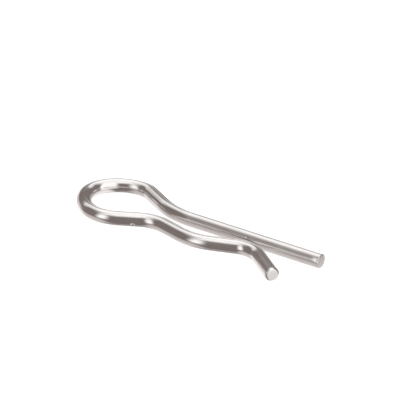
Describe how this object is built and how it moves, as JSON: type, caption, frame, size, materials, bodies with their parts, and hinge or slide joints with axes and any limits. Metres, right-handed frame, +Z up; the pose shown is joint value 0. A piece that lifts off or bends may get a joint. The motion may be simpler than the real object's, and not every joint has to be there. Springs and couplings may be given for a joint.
{
  "type": "hairpin cotter pin",
  "caption": "Hairpin cotter of round spring wire: a straight leg for a shaft's cross hole, a finger loop, and a humped spring leg with a flared tip that snaps over the shaft.",
  "frame": {"origin": "below the middle of the clip's box, on the surface that it lies on", "axes": "+X along the straight leg to its free end, +Y to the straight leg's side of the clip, +Z up out of the plane that the wire is bent in"},
  "size_m": [0.0378, 0.0118, 0.002],
  "materials": {
    "spring_steel": "bright drawn wire, near mirror, with faint draw lines"
  },
  "bodies": {
    "root": {"spring_wire": "spring_steel"}
  },
  "joints": []
}
